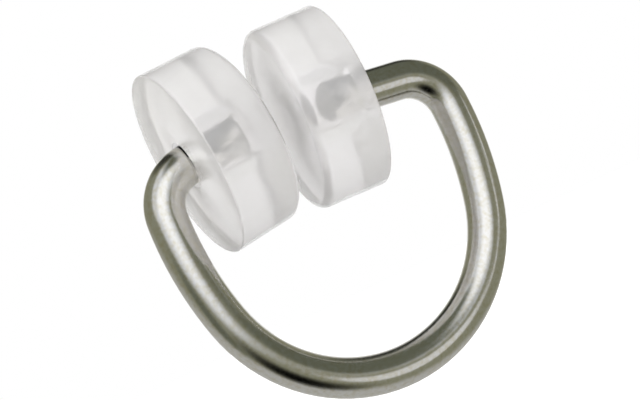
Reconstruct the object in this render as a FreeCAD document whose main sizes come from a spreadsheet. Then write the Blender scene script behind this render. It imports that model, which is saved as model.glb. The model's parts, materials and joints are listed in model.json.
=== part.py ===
import FreeCAD, Part
import math
import os
import Sketcher

# A curtain glider: an open loop of round steel wire whose two ends point at each other, each
# carrying a loose moulded roller. The rollers run on the flanges of an I-shaped curtain rail,
# its web passes through the gap between them, and the curtain hook hangs in the loop.
# The rollers are slid on over the ends of the sprung-open loop, and the rail's web keeps them on,
# because each end sits deeper in its bore than the web leaves room to slide.
# Frame: origin in the middle of the rail gap on the line of the rollers, +X from the left
# roller to the right one, +Y along the rail, away from the viewer, and +Z up.

doc = FreeCAD.newDocument("curtain_glider")

# Driving dimensions in millimetres, angles in degrees. The loop's sizes are to the middle of the
# wire: the left leg stands off the left roller's outer face, and the bottom arc turns by
# bottom_turn to each side before it runs into the legs. An end's rise is the angle at which it
# climbs towards the rail gap, and its end gap is what it leaves free before its bore's floor. The
# right roller leans on its wire by a share of the play in its bore, towards a direction measured
# from upright to the front.
SIZES = [
    ("wire_diameter", "2.0"),
    ("loop_depth", "13.25"),
    ("leg_stand_off", "1.96"),
    ("bottom_radius", "7.6"),
    ("bottom_turn", "74.4"),
    ("leg_radius", "16.8"),
    ("bend_radius", "2.25"),
    ("left_rise", "7.0"),
    ("right_rise", "5.0"),
    ("left_end_gap", "0.4"),
    ("right_end_gap", "1.5"),
    ("end_rim_radius", "0.15"),
    ("rail_gap", "2.0"),
    ("roller_diameter", "9.5"),
    ("roller_width", "3.45"),
    ("tread_draft", "1.2"),
    ("inner_rim_radius", "0.45"),
    ("outer_rim_radius", "0.1"),
    ("bore_clearance", "0.2"),
    ("floor_thickness", "0.45"),
    ("lean_share", "0.483"),
    ("lean_direction", "46"),
]

# Sizes that follow from those. A roller is placed by the middle of the wire's stretch in its bore,
# which lies on the X axis. From there a half reaches to its outer face and to the wire's end, a
# bore_reach to the bore's floor and an inner_reach to its inner face. The loop's middle lies
# loop_shift to the right of the rail gap's.
FOLLOWING = [
    ("bore_radius", "=wire_diameter / 2 + bore_clearance"),
    ("bore_depth", "=roller_width - floor_thickness"),
    ("left_depth", "=bore_depth - left_end_gap"),
    ("right_depth", "=bore_depth - right_end_gap"),
    ("left_half", "=left_depth / 2"),
    ("right_half", "=right_depth / 2"),
    ("left_inner_reach", "=roller_width - left_half"),
    ("right_inner_reach", "=roller_width - right_half"),
    ("left_bore_reach", "=left_half + left_end_gap"),
    ("right_bore_reach", "=right_half + right_end_gap"),
    ("draft_step", "=roller_width / 2 * tan(tread_draft * 1 deg)"),
    ("inner_face_radius", "=roller_diameter / 2 - draft_step"),
    ("outer_face_radius", "=roller_diameter / 2 + draft_step"),
    ("left_pivot", "=rail_gap / 2 + left_inner_reach * cos(left_rise * 1 deg)"),
    ("right_pivot", "=rail_gap / 2 + right_inner_reach * cos(right_rise * 1 deg)"),
    ("left_end_x", "=left_half * cos(left_rise * 1 deg) - left_pivot"),
    ("left_end_z", "=left_half * sin(left_rise * 1 deg)"),
    ("right_end_x", "=right_pivot - right_half * cos(right_rise * 1 deg)"),
    ("right_end_z", "=right_half * sin(right_rise * 1 deg)"),
    ("bottom_centre_drop", "=loop_depth - bottom_radius"),
    ("leg_centre_offset", "=(leg_radius - bottom_radius) * sin(bottom_turn * 1 deg)"),
    ("leg_centre_rise", "=(leg_radius - bottom_radius) * cos(bottom_turn * 1 deg)"),
    ("left_face_x", "=-left_pivot - left_half * cos(left_rise * 1 deg)"),
    ("loop_half_width", "=leg_radius - leg_centre_offset"),
    ("loop_shift", "=left_face_x - leg_stand_off + loop_half_width"),
    ("right_leg_centre", "=loop_shift - leg_centre_offset"),
    ("left_leg_centre", "=loop_shift + leg_centre_offset"),
    ("bore_play", "=2 * bore_clearance / right_depth"),
    ("lean_angle", "=lean_share * bore_play * 180 / pi"),
]

sheet = doc.addObject("Spreadsheet::Sheet", "sizes")
for row, (alias, text) in enumerate(SIZES + FOLLOWING, start=1):
    sheet.set("A%d" % row, alias)
    sheet.set("B%d" % row, text)
    sheet.setAlias("B%d" % row, alias)
doc.recompute()


def size(alias):
    """The value of one cell."""
    return float(sheet.get(alias))


def origin_feature(body, role):
    """One of a body's own origin planes or axes."""
    return next(f for f in body.Origin.OriginFeatures if f.Role == role)


def plane_sketch(body, name, role):
    """A sketch on one of the body's origin planes."""
    sketch = body.newObject("Sketcher::SketchObject", name)
    sketch.AttachmentSupport = (origin_feature(body, role), "")
    sketch.MapMode = "FlatFace"
    return sketch


def bind(sketch, kind, geometry, expression):
    """Add a dimension to a sketch and tie it to the sheet."""
    value = sketch.evalExpression(expression)
    index = sketch.addConstraint(Sketcher.Constraint(kind, *geometry, value))
    sketch.setExpression("Constraints[%d]" % index, expression)


def round_edge(feature, centre, radius):
    """The name of a feature's circular edge with this centre and radius."""
    tolerance = 1e-4
    for number, edge in enumerate(feature.Shape.Edges, start=1):
        curve = edge.Curve
        if not isinstance(curve, Part.Circle):
            continue
        off_centre = curve.Center.distanceToPoint(centre)
        if off_centre < tolerance and abs(curve.Radius - radius) < tolerance:
            return "Edge%d" % number
    raise RuntimeError("no round edge of radius %.3f" % radius)


def bend_side(side, rise):
    """Where one side of the loop bends into its end: the leg's centre, the bend's centre and start.

    The side is -1 for the left and 1 for the right, and u runs outwards from the loop's middle.
    """
    leg_radius = size("leg_radius")
    bend_radius = size("bend_radius")
    pivot = size("left_pivot") if side < 0 else size("right_pivot")
    pivot_u = pivot - side * size("loop_shift")
    leg_u = -size("leg_centre_offset")
    leg_z = size("leg_centre_rise") - size("bottom_centre_drop")
    # The bend's centre lies one bend radius under the end's line and one radius difference
    # from the leg's centre, on the outer side.
    inwards = (-math.cos(rise), math.sin(rise))
    under = (-math.sin(rise), -math.cos(rise))
    line_u = pivot_u + bend_radius * under[0] - leg_u
    line_z = bend_radius * under[1] - leg_z
    along = line_u * inwards[0] + line_z * inwards[1]
    spread = line_u ** 2 + line_z ** 2 - (leg_radius - bend_radius) ** 2
    step = -along - math.sqrt(along ** 2 - spread)
    bend_u = leg_u + line_u + step * inwards[0]
    bend_z = leg_z + line_z + step * inwards[1]
    start_u = bend_u - bend_radius * under[0]
    start_z = bend_z - bend_radius * under[1]

    def point(u, z):
        return FreeCAD.Vector(size("loop_shift") + side * u, z, 0)

    return point(leg_u, leg_z), point(bend_u, bend_z), point(start_u, start_z)


def draw_loop_path(sketch):
    """The middle line of the wire: end, bend, leg, bottom, leg, bend, end, all tangent."""
    upwards = FreeCAD.Vector(0, 0, 1)
    left_rise = math.radians(size("left_rise"))
    right_rise = math.radians(size("right_rise"))
    left_leg, left_bend, left_start = bend_side(-1, left_rise)
    right_leg, right_bend, right_start = bend_side(1, right_rise)
    bottom = FreeCAD.Vector(size("loop_shift"), -size("bottom_centre_drop"), 0)
    left_end = FreeCAD.Vector(size("left_end_x"), size("left_end_z"), 0)
    right_end = FreeCAD.Vector(size("right_end_x"), size("right_end_z"), 0)

    def angle(centre, other):
        return math.atan2(other.y - centre.y, other.x - centre.x)

    def arc(centre, alias, start, end):
        circle = Part.Circle(centre, upwards, size(alias))
        return Part.ArcOfCircle(circle, start, end)

    turns = [
        math.pi / 2 + left_rise,
        angle(left_leg, left_bend),
        angle(left_leg, bottom),
        angle(right_leg, bottom),
        angle(right_leg, right_bend),
        math.pi / 2 - right_rise,
    ]
    sketch.addGeometry(Part.LineSegment(left_end, left_start))
    sketch.addGeometry(arc(left_bend, "bend_radius", turns[0], turns[1]))
    sketch.addGeometry(arc(left_leg, "leg_radius", turns[1], turns[2]))
    sketch.addGeometry(arc(bottom, "bottom_radius", turns[2], turns[3]))
    sketch.addGeometry(arc(right_leg, "leg_radius", turns[3], turns[4]))
    sketch.addGeometry(arc(right_bend, "bend_radius", turns[4], turns[5]))
    sketch.addGeometry(Part.LineSegment(right_start, right_end))

    for piece in range(6):
        sketch.addConstraint(Sketcher.Constraint("Tangent", piece, 2, piece + 1, 1))
    for piece, alias in enumerate(["bend", "leg", "bottom", "leg", "bend"], start=1):
        bind(sketch, "Radius", (piece,), "sizes.%s_radius" % alias)
    bind(sketch, "DistanceX", (-1, 1, 3, 3), "sizes.loop_shift")
    bind(sketch, "DistanceY", (-1, 1, 3, 3), "-sizes.bottom_centre_drop")
    bind(sketch, "DistanceX", (-1, 1, 2, 3), "sizes.left_leg_centre")
    bind(sketch, "DistanceX", (-1, 1, 4, 3), "sizes.right_leg_centre")
    bind(sketch, "DistanceX", (-1, 1, 0, 1), "sizes.left_end_x")
    bind(sketch, "DistanceY", (-1, 1, 0, 1), "sizes.left_end_z")
    bind(sketch, "DistanceX", (-1, 1, 6, 2), "sizes.right_end_x")
    bind(sketch, "DistanceY", (-1, 1, 6, 2), "sizes.right_end_z")
    bind(sketch, "Angle", (0,), "(180 + sizes.left_rise) * 1 deg")
    bind(sketch, "Angle", (6,), "(180 - sizes.right_rise) * 1 deg")


def make_wire_loop():
    """The wire, swept along the loop, with the rims of its two ends rounded."""
    body = doc.addObject("PartDesign::Body", "wire_loop")
    body.Label = "wire_loop"
    path = plane_sketch(body, "wire_path", "XZ_Plane")
    draw_loop_path(path)

    section = plane_sketch(body, "wire_section", "YZ_Plane")
    section.addGeometry(Part.Circle(FreeCAD.Vector(0, 0, 0), FreeCAD.Vector(0, 0, 1), 1.0))
    section.addConstraint(Sketcher.Constraint("Coincident", 0, 3, -1, 1))
    bind(section, "Diameter", (0,), "sizes.wire_diameter")
    # The section's own upright tips back by the left end's rise.
    place = "placement(vector(0; sizes.left_end_z; sizes.left_end_x); rotation(vector(1; 0; 0); {0}))"
    section.setExpression("AttachmentOffset", place.format("-sizes.left_rise"))
    doc.recompute()

    wire = body.newObject("PartDesign::AdditivePipe", "wire")
    wire.Profile = section
    wire.Spine = (path, ["Edge%d" % edge for edge in range(1, 8)])
    doc.recompute()

    rims = body.newObject("PartDesign::Fillet", "end_rims")
    edges = []
    for end in ("left_end", "right_end"):
        centre = FreeCAD.Vector(size(end + "_x"), 0, size(end + "_z"))
        edges.append(round_edge(wire, centre, size("wire_diameter") / 2))
    rims.Base = (wire, edges)
    rims.setExpression("Radius", "sizes.end_rim_radius")
    doc.recompute()
    return body


def make_roller(end, inner, placement):
    """A drafted roller for one wire end, left or right, with a blind bore from its outer face.

    Its plain inner face lies towards inner, 1 for the roller left of the rail gap and -1 for the right.
    """
    name = end + "_roller"
    body = doc.addObject("PartDesign::Body", name)
    body.Label = name
    sketch = plane_sketch(body, name + "_profile", "XZ_Plane")
    across = {1: "", -1: "-"}
    corners = [
        (end + "_inner_reach", inner, None),
        (end + "_inner_reach", inner, "inner_face_radius"),
        (end + "_half", -inner, "outer_face_radius"),
        (end + "_half", -inner, "bore_radius"),
        (end + "_bore_reach", inner, "bore_radius"),
        (end + "_bore_reach", inner, None),
    ]
    points = []
    for reach, side, radius in corners:
        points.append(FreeCAD.Vector(side * size(reach), size(radius) if radius else 0, 0))
    count = len(points)
    for line in range(count):
        sketch.addGeometry(Part.LineSegment(points[line], points[(line + 1) % count]))
    for line in range(count):
        sketch.addConstraint(Sketcher.Constraint("Coincident", line, 2, (line + 1) % count, 1))
    for line, (reach, side, radius) in enumerate(corners):
        bind(sketch, "DistanceX", (-1, 1, line, 1), "%ssizes.%s" % (across[side], reach))
        if radius:
            bind(sketch, "DistanceY", (-1, 1, line, 1), "sizes.%s" % radius)
        else:
            sketch.addConstraint(Sketcher.Constraint("PointOnObject", line, 1, -1))
    turned = body.newObject("PartDesign::Revolution", name + "_turned")
    turned.Profile = sketch
    turned.ReferenceAxis = (sketch, ["H_Axis"])
    turned.Angle = 360
    doc.recompute()

    rounded = turned
    for rim, reach, side in (("inner", "_inner_reach", inner), ("outer", "_half", -inner)):
        centre = FreeCAD.Vector(side * size(end + reach), 0, 0)
        edge = round_edge(rounded, centre, size(rim + "_face_radius"))
        fillet = body.newObject("PartDesign::Fillet", "%s_%s_rim" % (name, rim))
        fillet.Base = (rounded, [edge])
        fillet.setExpression("Radius", "sizes.%s_rim_radius" % rim)
        doc.recompute()
        rounded = fillet
    body.setExpression("Placement", placement)
    doc.recompute()
    return body


wire_loop = make_wire_loop()
left_roller = make_roller(
    "left",
    1,
    "placement(vector(-sizes.left_pivot; 0; 0); rotation(vector(0; 1; 0); -sizes.left_rise))",
)
right_roller = make_roller(
    "right",
    -1,
    "placement(vector(sizes.right_pivot; 0; 0); rotation(vector(0; 1; 0); sizes.right_rise))"
    " * placement(vector(0; 0; 0); rotation(vector(1; 0; 0); sizes.lean_direction))"
    " * placement(vector(0; 0; 0); rotation(vector(0; 1; 0); -sizes.lean_angle))",
)
doc.recompute()

for item in doc.Objects:
    if "Invalid" in item.State or "Error" in item.State:
        raise RuntimeError("%s failed to build" % item.Label)
bodies = [wire_loop, left_roller, right_roller]
for body in bodies:
    if body.Shape.isNull() or not body.Shape.isValid():
        raise RuntimeError("%s has no valid shape" % body.Label)

os.makedirs("parts", exist_ok=True)
for body in bodies:
    body.Shape.exportStep("parts/%s.step" % body.Label)
    print(body.Label, round(body.Shape.Volume, 3), "mm3", body.Shape.BoundBox)
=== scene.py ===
import json
import math

import bmesh
import bpy
from mathutils import Matrix, Vector


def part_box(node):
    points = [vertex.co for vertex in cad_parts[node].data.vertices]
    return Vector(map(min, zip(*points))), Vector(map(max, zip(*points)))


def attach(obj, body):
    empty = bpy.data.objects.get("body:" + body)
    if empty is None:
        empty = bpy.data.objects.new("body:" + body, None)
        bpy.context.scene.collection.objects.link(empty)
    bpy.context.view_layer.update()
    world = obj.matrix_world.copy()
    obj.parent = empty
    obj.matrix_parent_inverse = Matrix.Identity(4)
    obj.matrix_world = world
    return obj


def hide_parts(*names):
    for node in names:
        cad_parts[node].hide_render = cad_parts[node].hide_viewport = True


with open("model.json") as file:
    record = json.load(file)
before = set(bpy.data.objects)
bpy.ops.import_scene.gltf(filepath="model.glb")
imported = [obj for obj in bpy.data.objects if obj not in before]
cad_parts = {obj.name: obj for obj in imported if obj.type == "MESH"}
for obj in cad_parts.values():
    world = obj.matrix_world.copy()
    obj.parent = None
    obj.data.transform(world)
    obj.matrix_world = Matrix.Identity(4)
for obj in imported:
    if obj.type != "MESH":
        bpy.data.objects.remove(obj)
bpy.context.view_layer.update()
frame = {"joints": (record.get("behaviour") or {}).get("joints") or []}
bpy.ops.object.select_all(action="DESELECT")


# The wire loop: one length of drawn steel wire, bent round into an open D and nickel plated. Its two
# plain ends point at each other across the rail gap, each in the blind bore of a roller, with the left
# one deeper in its bore than the right one.

mm = 0.001
wire_radius = 1.0 * mm
bottom_radius = 7.6 * mm
leg_radius = 16.8 * mm
bend_radius = 2.25 * mm
left_rise = math.radians(7.0)
right_rise = math.radians(5.0)
left_depth = 2.6 * mm
right_depth = 1.5 * mm
end_rim_radius = 0.15 * mm
wire_sides = 72
bend_step = math.radians(4.0)

pivots = {joint["child"]: Vector(joint["pos_m"]) for joint in frame["joints"]}
axes = {joint["child"]: Vector(joint["axis"]) for joint in frame["joints"]}
loop_low, loop_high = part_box("wire_loop")
loop_middle = (loop_low.x + loop_high.x) / 2
half_width = (loop_high.x - loop_low.x) / 2 - wire_radius
bottom = Vector((loop_middle, 0, loop_low.z + wire_radius + bottom_radius))
leg_offset = leg_radius - half_width
leg_rise = math.sqrt((leg_radius - bottom_radius) ** 2 - leg_offset ** 2)


def loop_side(side, rise, pivot):
    """One side of the loop: the leg's and the bend's centres, and the end's directions.

    The side is -1 for the left and 1 for the right. The bend's centre lies one bend radius under
    the end's line and one difference of radii from the leg's centre.
    """
    outwards = Vector((side * math.cos(rise), 0, -math.sin(rise)))
    under = Vector((-side * math.sin(rise), 0, -math.cos(rise)))
    leg = Vector((loop_middle - side * leg_offset, 0, bottom.z + leg_rise))
    line = pivot + bend_radius * under - leg
    along = line.dot(outwards)
    reach = (leg_radius - bend_radius) ** 2
    step = math.sqrt(along ** 2 - line.length_squared + reach) - along
    return leg, leg + line + step * outwards, outwards, under


left_leg, left_bend, left_out, left_under = loop_side(-1, left_rise, pivots["left_roller"])
right_leg, right_bend, right_out, right_under = loop_side(1, right_rise, pivots["right_roller"])
left_end = pivots["left_roller"] - left_out * left_depth / 2
right_end = pivots["right_roller"] - right_out * right_depth / 2
left_mouth = left_end + left_out * left_depth
right_mouth = right_end + right_out * right_depth
left_start = left_bend - bend_radius * left_under
right_start = right_bend - bend_radius * right_under


def turn_of(direction):
    """The angle of a direction in the loop's plane, from +X towards +Z."""
    return math.atan2(direction.z, direction.x)


turns = [
    turn_of(-left_under),
    turn_of(left_bend - left_leg),
    turn_of(bottom - left_leg),
    turn_of(bottom - right_leg),
    turn_of(right_bend - right_leg),
    turn_of(-right_under),
]
arcs = [
    (left_bend, bend_radius),
    (left_leg, leg_radius),
    (bottom, bottom_radius),
    (right_leg, leg_radius),
    (right_bend, bend_radius),
]
sweeps = [(end - start) % math.tau for start, end in zip(turns, turns[1:])]

bpy.ops.mesh.primitive_circle_add(
    vertices=wire_sides,
    radius=wire_radius,
    location=left_end,
    rotation=(0, math.atan2(left_out.x, left_out.z), 0),
)
wire = bpy.context.object
wire.name = "nickel_wire_loop"
bpy.ops.object.transform_apply(location=True, rotation=True, scale=True)
bpy.ops.object.mode_set(mode="EDIT")
bpy.ops.mesh.extrude_region_move(TRANSFORM_OT_translate={"value": left_mouth - left_end})
bpy.ops.mesh.extrude_region_move(TRANSFORM_OT_translate={"value": left_start - left_mouth})
for (centre, radius), sweep in zip(arcs, sweeps):
    bpy.ops.mesh.spin(
        steps=math.ceil(sweep / bend_step * max(1, radius / bottom_radius)),
        angle=sweep,
        center=centre,
        axis=(0, 1, 0),
    )
bpy.ops.mesh.extrude_region_move(TRANSFORM_OT_translate={"value": right_mouth - right_start})
bpy.ops.mesh.extrude_region_move(TRANSFORM_OT_translate={"value": right_end - right_mouth})


def pick(kind, test):
    """Select, in edit mode, only the edges or faces whose middle passes a test."""
    bpy.ops.mesh.select_mode(type=kind)
    bpy.ops.mesh.select_all(action="DESELECT")
    mesh = bpy.context.edit_object.data
    shape = bmesh.from_edit_mesh(mesh)
    for element in {"EDGE": shape.edges, "FACE": shape.faces}[kind]:
        corners = [vertex.co for vertex in element.verts]
        if test(sum(corners, Vector()) / len(corners)):
            element.select_set(True)
    shape.select_flush_mode()
    bmesh.update_edit_mesh(mesh)


touch = 0.001 * mm
for end, outwards in ((left_end, left_out), (right_end, right_out)):
    pick("EDGE", lambda middle: abs((middle - end).dot(outwards)) < touch
         and (middle - end).length < wire_radius + touch)
    bpy.ops.mesh.edge_face_add()
    bpy.ops.mesh.bevel(offset=end_rim_radius, segments=5, affect="EDGES")

bpy.ops.mesh.select_all(action="SELECT")
bpy.ops.mesh.remove_doubles(threshold=touch)
bpy.ops.mesh.normals_make_consistent(inside=False)
bpy.ops.object.mode_set(mode="OBJECT")
bpy.ops.object.shade_smooth_by_angle(angle=math.radians(40))

# Where each point lay on the straight wire before it was bent: across, across and along. The marks
# that the drawing die left follow the wire round its bends by this.
straight_wire = wire.data.attributes.new("straight_wire", "FLOAT_VECTOR", "POINT")
bent_length = sum(radius * sweep for (centre, radius), sweep in zip(arcs, sweeps))
for vertex, place in zip(wire.data.vertices, straight_wire.data):
    if (vertex.co - left_start).dot(left_out) < 0 and vertex.co.x < loop_middle:
        along = (vertex.co - left_start).dot(left_out)
        across = -(vertex.co - left_start).dot(left_under)
    else:
        along = bent_length - (vertex.co - right_start).dot(right_out)
        across = -(vertex.co - right_start).dot(right_under)
    run = 0
    for (centre, radius), start, sweep in zip(arcs, turns, sweeps):
        spoke = vertex.co - centre
        turn = (turn_of(spoke) - start) % math.tau
        from_centre = math.hypot(spoke.x, spoke.z) - radius
        if turn <= sweep and abs(from_centre) < wire_radius + touch:
            along = run + turn * radius
            across = from_centre
        run += radius * sweep
    place.vector = (across, vertex.co.y, along)


def srgb(code):
    """A linear colour from its sRGB hex code."""
    shares = [int(code[place:place + 2], 16) / 255 for place in (1, 3, 5)]
    return (*(s / 12.92 if s <= 0.04045 else ((s + 0.055) / 1.055) ** 2.4 for s in shares), 1)


def add_node(tree, kind, settings, links):
    """One node: its settings and socket values by name or number, and what is linked to its sockets."""
    node = tree.nodes.new(kind)
    for key, value in settings.items():
        if isinstance(key, int) or key in node.inputs:
            node.inputs[key].default_value = value
        else:
            setattr(node, key, value)
    for key, source in links.items():
        tree.links.new(source, node.inputs[key])
    return node


# Drawn steel wire under a thin nickel plate: a satin metal with a faint yellow cast. The die left fine
# lines along it, and the plate has a fine grain that breaks up what it mirrors, with brownish specks.
# The grain is drawn coarser than a real plate's would be, so that it shows.
die_line_width = 0.07 * mm
die_line_length = 5 * mm
plate_grain = 0.09 * mm
speck_spacing = 0.22 * mm
nickel = bpy.data.materials.new("drawn_nickel_plated_steel")
nickel.use_nodes = True
tree = nickel.node_tree
steel = tree.nodes["Principled BSDF"]
steel.inputs["Metallic"].default_value = 1
on_wire = add_node(tree, "ShaderNodeAttribute", {"attribute_name": "straight_wire"}, {})
lines_at = add_node(
    tree,
    "ShaderNodeMapping",
    {"Scale": (1 / die_line_width, 1 / die_line_width, 1 / die_line_length)},
    {"Vector": on_wire.outputs["Vector"]},
)
lines = add_node(
    tree, "ShaderNodeTexNoise", {"Scale": 1, "Detail": 3}, {"Vector": lines_at.outputs["Vector"]}
)
grain = add_node(
    tree,
    "ShaderNodeTexNoise",
    {"Scale": 1 / plate_grain, "Detail": 2},
    {"Vector": on_wire.outputs["Vector"]},
)
specks = add_node(
    tree,
    "ShaderNodeTexNoise",
    {"Scale": 1 / speck_spacing, "Detail": 2},
    {"Vector": on_wire.outputs["Vector"]},
)
speck_share = add_node(
    tree,
    "ShaderNodeMapRange",
    {"From Min": 0.4, "From Max": 0.75},
    {"Value": specks.outputs["Fac"]},
)
plate = add_node(
    tree,
    "ShaderNodeMix",
    {"data_type": "RGBA", 6: srgb("#d4d3cf"), 7: srgb("#cbc7b9")},
    {0: speck_share.outputs["Result"]},
)
gloss = add_node(
    tree,
    "ShaderNodeMapRange",
    {"From Min": 0.3, "From Max": 0.7, "To Min": 0.13, "To Max": 0.2},
    {"Value": grain.outputs["Fac"]},
)
grooves = add_node(
    tree,
    "ShaderNodeBump",
    {"Strength": 0.06, "Distance": 0.01 * mm},
    {"Height": lines.outputs["Fac"]},
)
pits = add_node(
    tree,
    "ShaderNodeBump",
    {"Strength": 0.1, "Distance": 0.01 * mm},
    {"Height": grain.outputs["Fac"], "Normal": grooves.outputs["Normal"]},
)
tree.links.new(plate.outputs[2], steel.inputs["Base Color"])
tree.links.new(gloss.outputs["Result"], steel.inputs["Roughness"])
tree.links.new(pits.outputs["Normal"], steel.inputs["Normal"])


def dull_steel_and_painted_shade(name, streak_width, streak_length, dark, pale, roughness, painted_upper_shade):
    """Steel with dark and pale streaks of a given size along the wire: bare steel where the plate is cut
    away, and painted shade and painted highlight on the plate where the wire sits inside the nylon.

    The last value is painted shade: it shifts the streaks towards dark on the wire's upper side and
    towards pale below, a painted highlight.
    """
    material = bpy.data.materials.new(name)
    material.use_nodes = True
    tree = material.node_tree
    steel = tree.nodes["Principled BSDF"]
    steel.inputs["Metallic"].default_value = 1
    steel.inputs["Roughness"].default_value = roughness
    on_wire = add_node(tree, "ShaderNodeAttribute", {"attribute_name": "straight_wire"}, {})
    streaks_at = add_node(
        tree,
        "ShaderNodeMapping",
        {"Scale": (1 / streak_width, 1 / streak_width, 1 / streak_length)},
        {"Vector": on_wire.outputs["Vector"]},
    )
    streaks = add_node(
        tree, "ShaderNodeTexNoise", {"Scale": 1, "Detail": 4}, {"Vector": streaks_at.outputs["Vector"]}
    )
    parts = add_node(tree, "ShaderNodeSeparateXYZ", {}, {0: on_wire.outputs["Vector"]})
    # Painted shade on the wire's upper side and painted highlight below, scaled by the last value.
    sided = add_node(
        tree,
        "ShaderNodeMath",
        {"operation": "MULTIPLY_ADD", 1: -painted_upper_shade / wire_radius},
        {0: parts.outputs["X"], 2: streaks.outputs["Fac"]},
    )
    contrast = add_node(
        tree,
        "ShaderNodeMapRange",
        {"From Min": 0.4, "From Max": 0.6},
        {"Value": sided.outputs["Value"]},
    )
    colour = add_node(
        tree,
        "ShaderNodeMix",
        {"data_type": "RGBA", 6: srgb(dark), 7: srgb(pale)},
        {0: contrast.outputs["Result"]},
    )
    tree.links.new(colour.outputs[2], steel.inputs["Base Color"])
    return material


# Through the nylon the wire's ends show dark and pale streaks, which are shade and reflections inside the
# nylon. Here they are painted onto the plate: painted shade, darker on the wire's upper side, and painted
# highlight, paler below. The end faces are taken as sheared after plating, so they are bare grey steel,
# dull and torn.
painted_shade_plate = dull_steel_and_painted_shade(
    "nickel_plate_with_painted_shade",
    streak_width=0.5 * mm,
    streak_length=1.4 * mm,
    dark="#0e0d0b",
    pale="#f0eee8",
    roughness=0.2,
    painted_upper_shade=0.2,
)
sheared = dull_steel_and_painted_shade(
    "sheared_bare_steel",
    streak_width=0.12 * mm,
    streak_length=0.12 * mm,
    dark="#5e5b55",
    pale="#96938c",
    roughness=0.45,
    painted_upper_shade=0,
)
for material in (nickel, painted_shade_plate, sheared):
    wire.data.materials.append(material)
bpy.ops.object.mode_set(mode="EDIT")
for end, outwards, depth in ((left_end, left_out, left_depth), (right_end, right_out, right_depth)):
    for slot, limit in ((1, depth), (2, end_rim_radius)):
        pick("FACE", lambda middle: (middle - end).length < depth + wire_radius
             and (middle - end).dot(outwards) < limit)
        wire.active_material_index = slot
        bpy.ops.object.material_slot_assign()
bpy.ops.object.mode_set(mode="OBJECT")
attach(wire, "wire_loop")
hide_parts("wire_loop")


# The two rollers: one moulding of natural, unpigmented nylon, used twice, with its plain inner face
# towards the rail gap. Its tread has a slight draft and its inner rim is rounded. It turns loosely on
# the wire's end, in a blind bore, and is taken to be slid on while the loop is sprung open.

roller_width = 3.45 * mm
tread_radius = 4.75 * mm
tread_draft = math.radians(1.2)
inner_rim_radius = 0.45 * mm
outer_rim_radius = 0.1 * mm
mouth_radius = 0.06 * mm
bore_radius = 1.2 * mm
floor_thickness = 0.45 * mm
roller_sides = 180

bore_depth = roller_width - floor_thickness
draft_step = roller_width / 2 * math.tan(tread_draft)
inner_face_radius = tread_radius - draft_step
outer_face_radius = tread_radius + draft_step


def natural_nylon(name, clearness, smoothest, roughest):
    """Injection-moulded natural nylon: milky, so that light goes through it and the wire shows dimly.

    It has faint flow marks from the mould, and its roughness varies with them. The clearness is the
    share of light that gets through the surface without being scattered.
    """
    flow_mark = 1.6 * mm
    skin_grain = 0.12 * mm
    material = bpy.data.materials.new(name)
    material.use_nodes = True
    tree = material.node_tree
    nylon = tree.nodes["Principled BSDF"]
    nylon.inputs["IOR"].default_value = 1.53
    nylon.inputs["Transmission Weight"].default_value = clearness
    at = add_node(tree, "ShaderNodeTexCoord", {}, {})
    flow = add_node(
        tree,
        "ShaderNodeTexNoise",
        {"Scale": 1 / flow_mark, "Detail": 8, "Roughness": 0.7, "Distortion": 0.8},
        {"Vector": at.outputs["Object"]},
    )
    fine_grain = add_node(
        tree,
        "ShaderNodeTexNoise",
        {"Scale": 1 / skin_grain, "Detail": 3},
        {"Vector": at.outputs["Object"]},
    )
    milk = add_node(
        tree,
        "ShaderNodeMix",
        {"data_type": "RGBA", 6: srgb("#f6f4f4"), 7: srgb("#fffdfe")},
        {0: flow.outputs["Fac"]},
    )
    gloss = add_node(
        tree,
        "ShaderNodeMapRange",
        {"From Min": 0.3, "From Max": 0.7, "To Min": smoothest, "To Max": roughest},
        {"Value": flow.outputs["Fac"]},
    )
    ripple = add_node(
        tree,
        "ShaderNodeBump",
        {"Strength": 0.1, "Distance": 0.01 * mm},
        {"Height": fine_grain.outputs["Fac"]},
    )
    tree.links.new(milk.outputs[2], nylon.inputs["Base Color"])
    tree.links.new(gloss.outputs["Result"], nylon.inputs["Roughness"])
    tree.links.new(ripple.outputs["Normal"], nylon.inputs["Normal"])
    return material


# The skin outside is smooth but not polished. The bore's wall is taken as formed by a polished core pin,
# so it is clearer.
skin = natural_nylon("moulded_natural_nylon", clearness=0.63, smoothest=0.12, roughest=0.2)
polished = natural_nylon("polished_natural_nylon", clearness=0.97, smoothest=0.02, roughest=0.05)


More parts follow.
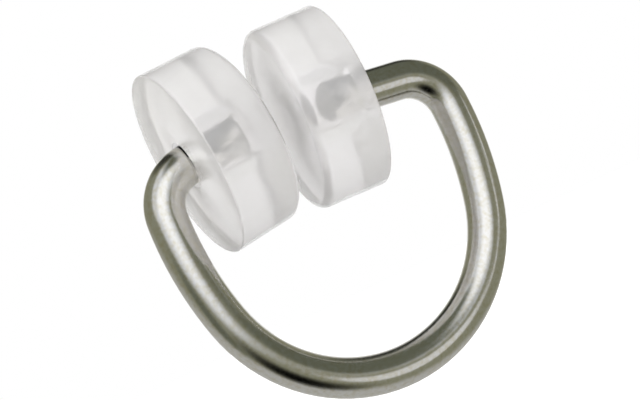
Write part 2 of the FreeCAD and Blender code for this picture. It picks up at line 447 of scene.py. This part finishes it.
def model_roller(name, pivot, inwards, wire_depth):
    """A roller on its axis. The pivot is the middle of the wire's stretch in its bore."""
    outer = -wire_depth / 2
    inner = outer + roller_width
    bpy.ops.object.select_all(action="DESELECT")
    bpy.ops.mesh.primitive_cylinder_add(
        vertices=roller_sides,
        radius=outer_face_radius,
        depth=roller_width,
        location=(0, 0, (outer + inner) / 2),
    )
    roller = bpy.context.object
    roller.name = name
    roller.data.materials.append(skin)
    roller.data.materials.append(polished)
    bpy.ops.object.transform_apply(location=True, rotation=True, scale=True)
    bpy.ops.object.mode_set(mode="EDIT")

    pick("FACE", lambda middle: middle.z > inner - touch)
    bpy.ops.transform.resize(
        value=(inner_face_radius / outer_face_radius,) * 2 + (1,), center_override=(0, 0, inner)
    )
    pick("FACE", lambda middle: middle.z < outer + touch)
    bpy.ops.mesh.inset(thickness=outer_face_radius - bore_radius)
    bpy.ops.mesh.extrude_region_move(TRANSFORM_OT_translate={"value": (0, 0, bore_depth)})

    def circle(radius, height):
        return lambda middle: (
            abs(math.hypot(middle.x, middle.y) - radius) < radius * 0.005
            and abs(middle.z - height) < touch
        )

    for radius, height, rounding, steps in (
        (inner_face_radius, inner, inner_rim_radius, 10),
        (outer_face_radius, outer, outer_rim_radius, 5),
        (bore_radius, outer, mouth_radius, 4),
    ):
        pick("EDGE", circle(radius, height))
        bpy.ops.mesh.bevel(offset=rounding, segments=steps, affect="EDGES")
    pick("FACE", lambda middle: math.hypot(middle.x, middle.y) < bore_radius + touch
         and outer + mouth_radius < middle.z < inner - touch)
    roller.active_material_index = 1
    bpy.ops.object.material_slot_assign()
    bpy.ops.mesh.select_all(action="SELECT")
    bpy.ops.mesh.remove_doubles(threshold=touch)
    bpy.ops.mesh.normals_make_consistent(inside=False)
    bpy.ops.object.mode_set(mode="OBJECT")
    bpy.ops.object.shade_smooth_by_angle(angle=math.radians(30))
    roller.rotation_mode = "QUATERNION"
    roller.rotation_quaternion = inwards.to_track_quat("Z", "Y")
    roller.location = pivot
    bpy.ops.object.transform_apply(location=True, rotation=True, scale=True)
    return roller


for node, side, wire_depth in (("left_roller", 1, left_depth), ("right_roller", -1, right_depth)):
    roller = model_roller("nylon_" + node, pivots[node], side * axes[node], wire_depth)
    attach(roller, node)
    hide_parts(node)


# The studio: a plain white paper floor below the glider, two broad soft lamps, and around it a dim
# olive-grey room. The bright wire mirrors its paper sweep, ceiling, backdrop, soft box, reflector with
# a bright edge, dark table edge and grey flags.

floor_drop = 30 * mm
floor_half = 1.5
floor_glow = 0.45
bpy.ops.object.select_all(action="DESELECT")
bpy.ops.mesh.primitive_plane_add(size=2 * floor_half, location=(0, 0, -floor_drop))
floor = bpy.context.object
floor.name = "studio_floor"
paper = bpy.data.materials.new("white_paper_floor")
paper.use_nodes = True
tree = paper.node_tree
sheet = tree.nodes["Principled BSDF"]
sheet.inputs["Base Color"].default_value = srgb("#e6e6e6")
sheet.inputs["Roughness"].default_value = 1
sheet.inputs["Specular IOR Level"].default_value = 0
sheet.inputs["Emission Color"].default_value = srgb("#ffffff")
rays = add_node(tree, "ShaderNodeLightPath", {}, {})
glow = add_node(
    tree,
    "ShaderNodeMapRange",
    {"To Max": floor_glow},
    {"Value": rays.outputs["Is Camera Ray"]},
)
tree.links.new(glow.outputs["Result"], sheet.inputs["Emission Strength"])
floor.data.materials.append(paper)
floor.visible_glossy = False


def towards(azimuth, elevation):
    """A direction from the glider: azimuth from the front towards the right, elevation upwards."""
    turn, lift = math.radians(azimuth), math.radians(elevation)
    return Vector((math.sin(turn) * math.cos(lift), -math.cos(turn) * math.cos(lift), math.sin(lift)))


# Each card of the studio: where it stands, how wide it is and how soft its edge is in degrees, its
# colour and its strength.
cards = [
    ("paper_sweep", towards(-165, -50), 40, 30, "#c4c4c1", 1.0),
    ("ceiling", towards(150, 64), 20, 22, "#3c3d38", 1.0),
    ("backdrop", towards(160, 4), 18, 22, "#ffffff", 1.0),
    ("soft_box", towards(-22, 34), 39, 14, "#f8faff", 0.95),
    ("reflector", towards(23, -24), 12.5, 5, "#ffffff", 0.85),
    ("reflector_edge_low", towards(43, -14), 3, 4, "#ffffff", 0.7),
    ("reflector_edge_middle", towards(53, -6), 3, 4, "#ffffff", 0.8),
    ("reflector_edge_high", towards(63, 2), 3, 4, "#ffffff", 0.85),
    ("table_edge", towards(-36, -47), 4, 29, "#000000", 1.0),
    ("right_flag", towards(45, 49), 36, 16, "#6c6f61", 1.0),
    ("left_flag", towards(-75, -17), 2, 22, "#6c6f61", 1.0),
    ("soft_box_core", towards(-19, 22), 8, 26, "#fbfcff", 1.5),
]
room = srgb("#969683")
world = bpy.data.worlds.new("studio")
bpy.context.scene.world = world
world.use_nodes = True
tree = world.node_tree
at = add_node(tree, "ShaderNodeTexCoord", {}, {})
shade = None
for name, direction, half_angle, edge, colour, strength in cards:
    facing = add_node(
        tree,
        "ShaderNodeVectorMath",
        {"operation": "DOT_PRODUCT", 1: direction},
        {0: at.outputs["Generated"]},
    )
    share = add_node(
        tree,
        "ShaderNodeMapRange",
        {
            "interpolation_type": "SMOOTHSTEP",
            "From Min": math.cos(math.radians(half_angle + edge)),
            "From Max": math.cos(math.radians(half_angle)),
        },
        {"Value": facing.outputs["Value"]},
    )
    bright = [strength * part for part in srgb(colour)]
    mix = add_node(
        tree,
        "ShaderNodeMix",
        {"label": name, "data_type": "RGBA", 6: room, 7: bright},
        {0: share.outputs["Result"]},
    )
    if shade:
        tree.links.new(shade.outputs[2], mix.inputs[6])
    shade = mix
# The camera sees plain white past the glider, and so does what passes straight through the nylon. What
# is turned inside the nylon, as at its bore's wall, shows the studio with much white in it, because the
# milky nylon scatters light. What the wire in its bore mirrors is the studio alone: that light has gone
# in and out of the nylon twice, where the other has done so once, with a transmission each way.
turned_white = 0.65
rays = add_node(tree, "ShaderNodeLightPath", {}, {})
straight = add_node(
    tree, "ShaderNodeMath", {"operation": "LESS_THAN", 1: 0.5}, {0: rays.outputs["Glossy Depth"]}
)
crossed_once = add_node(
    tree, "ShaderNodeMath", {"operation": "LESS_THAN", 1: 2.5}, {0: rays.outputs["Transmission Depth"]}
)
turned = add_node(
    tree, "ShaderNodeMath", {"operation": "MULTIPLY", 1: turned_white}, {0: crossed_once.outputs["Value"]}
)
open_way = add_node(
    tree,
    "ShaderNodeMath",
    {"operation": "MAXIMUM"},
    {0: straight.outputs["Value"], 1: turned.outputs["Value"]},
)
through = add_node(
    tree,
    "ShaderNodeMath",
    {"operation": "MULTIPLY"},
    {0: rays.outputs["Is Transmission Ray"], 1: open_way.outputs["Value"]},
)
white = add_node(
    tree,
    "ShaderNodeMath",
    {"operation": "MAXIMUM"},
    {0: rays.outputs["Is Camera Ray"], 1: through.outputs["Value"]},
)
seen = add_node(
    tree,
    "ShaderNodeMix",
    {"data_type": "RGBA", 7: (1, 1, 1, 1)},
    {0: white.outputs["Value"], 6: shade.outputs[2]},
)
tree.links.new(seen.outputs[2], tree.nodes["Background"].inputs["Color"])

for name, azimuth, elevation, spread, strength in (
    ("key_lamp", -60, 24, 80, 2.5),
    ("back_lamp", 150, 50, 100, 1.9),
):
    lamp = bpy.data.lights.new(name, "SUN")
    lamp.angle = math.radians(spread)
    lamp.energy = strength
    placed = bpy.data.objects.new(name, lamp)
    bpy.context.scene.collection.objects.link(placed)
    placed.rotation_euler = towards(azimuth, elevation).to_track_quat("Z", "Y").to_euler()
    placed.visible_glossy = False
    placed.visible_transmission = False


# The camera: level with the loop, a little to the left of the glider's front, turned so that the
# glider leans to the left in the picture.

image_width = 640
photo_scale = 20.556 / mm
view_distance = 66.52 * mm
view_yaw = math.radians(19.618)
view_pitch = math.radians(-3.714)
view_roll = math.radians(23.989)
view_middle = Vector((0.942, -0.061, -4.252)) * mm

camera_data = bpy.data.cameras.new("camera")
camera_data.sensor_width = 36
camera_data.lens = camera_data.sensor_width * photo_scale * view_distance / image_width
camera_data.clip_start = view_distance / 20
camera_data.clip_end = 10
camera = bpy.data.objects.new("camera", camera_data)
bpy.context.scene.collection.objects.link(camera)
facing_front = Matrix(((1, 0, 0), (0, 0, 1), (0, -1, 0)))
view = (
    Matrix.Rotation(view_roll, 3, "Z")
    @ Matrix.Rotation(view_yaw, 3, "Y")
    @ Matrix.Rotation(view_pitch, 3, "X")
    @ facing_front
).transposed()
camera.matrix_world = Matrix.Translation(view_middle + view.col[2] * view_distance) @ view.to_4x4()
bpy.context.scene.camera = camera
bpy.context.scene.view_settings.view_transform = "Standard"
